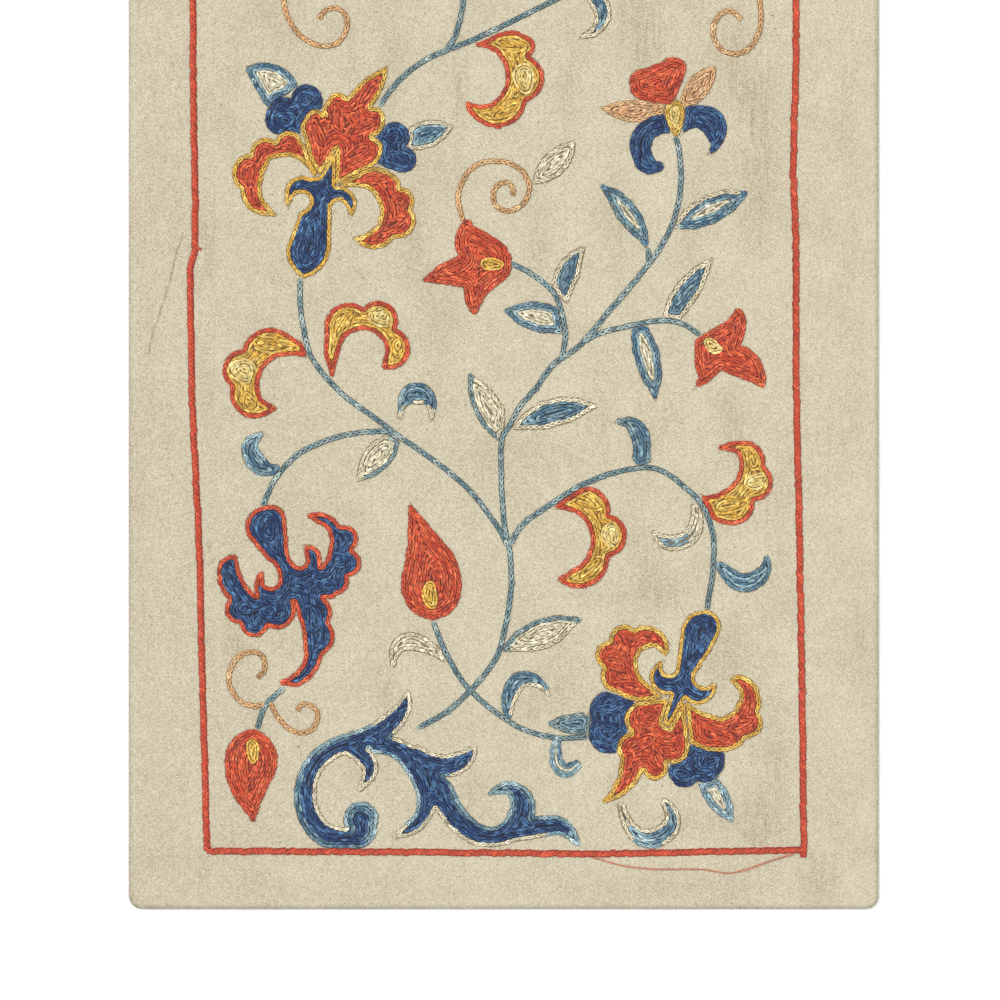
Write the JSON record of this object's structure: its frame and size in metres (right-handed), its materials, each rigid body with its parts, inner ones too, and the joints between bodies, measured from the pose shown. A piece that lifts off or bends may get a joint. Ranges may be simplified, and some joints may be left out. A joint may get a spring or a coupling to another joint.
{
  "type": "suzani embroidered textile",
  "caption": "Flat embroidered cotton panel with a stitched vine of flowers, leaves and curls inside a coral line, resting on its flat back.",
  "frame": {"origin": "centre of the cloth's underside, which lies on Z = 0", "axes": "+X across the panel to the right, +Y along it towards the vine's top, +Z out of the stitched face"},
  "size_m": [0.3, 0.424, 0.002],
  "materials": {
    "cotton": "unbleached twill cotton, matt",
    "coral_silk": "silk thread, soft sheen",
    "yellow_silk": "silk thread, soft sheen",
    "navy_silk": "silk thread, soft sheen",
    "blue_silk": "silk thread, soft sheen",
    "stem_silk": "silk thread, soft sheen",
    "cream_silk": "silk thread, soft sheen",
    "pink_silk": "silk thread, soft sheen"
  },
  "bodies": {
    "root": {"ground_cloth": "cotton", "border_line": "coral_silk", "loose_thread": "coral_silk", "stem_main": "stem_silk", "stem_top": "stem_silk", "stem_bud_left": "stem_silk", "tendril_spiral": "pink_silk", "calyx_a": "navy_silk", "centre_petal_a": "coral_silk", "left_petal_a": "coral_silk", "right_petal_a": "coral_silk", "left_lobes_a": "navy_silk", "right_lobes_a": "navy_silk", "calyx_c": "navy_silk", "centre_petal_c": "coral_silk", "left_petal_c": "coral_silk", "right_petal_c": "coral_silk", "left_lobes_c": "navy_silk", "right_lobes_c": "navy_silk", "palmette_b": "navy_silk", "tulip_left": "coral_silk", "tulip_right": "coral_silk", "iris_cap": "coral_silk", "iris_drop": "yellow_silk", "iris_left_hook": "navy_silk", "iris_right_hook": "navy_silk", "iris_left_leaf": "pink_silk", "iris_right_leaf": "pink_silk", "bud_centre": "coral_silk", "bud_left": "coral_silk", "scroll": "navy_silk", "crescent_top": "yellow_silk", "crescent_left": "yellow_silk", "crescent_inner": "yellow_silk", "crescent_low": "yellow_silk", "crescent_right": "yellow_silk", "leaf_bud_a_left": "blue_silk", "leaf_bud_a_right": "cream_silk", "leaf_bud_c_right": "blue_silk", "leaf_bud_c_left": "blue_silk", "leaf_cream": "cream_silk", "leaf_over_stem": "cream_silk", "leaf_on_branch": "blue_silk", "leaf_high": "blue_silk", "leaf_high_right": "blue_silk", "leaf_upright": "cream_silk", "leaf_hanging": "blue_silk", "leaf_pair_left": "cream_silk", "leaf_pair_right": "blue_silk", "leaf_low_left": "cream_silk", "leaf_low_right": "blue_silk", "curl_left": "blue_silk", "curl_inner": "blue_silk", "curl_arch": "blue_silk", "curl_under_arch": "cream_silk", "curl_right": "blue_silk", "curl_low": "blue_silk", "curl_bud_stem": "cream_silk", "curl_foot": "blue_silk", "curl_top": "cream_silk"}
  },
  "joints": []
}
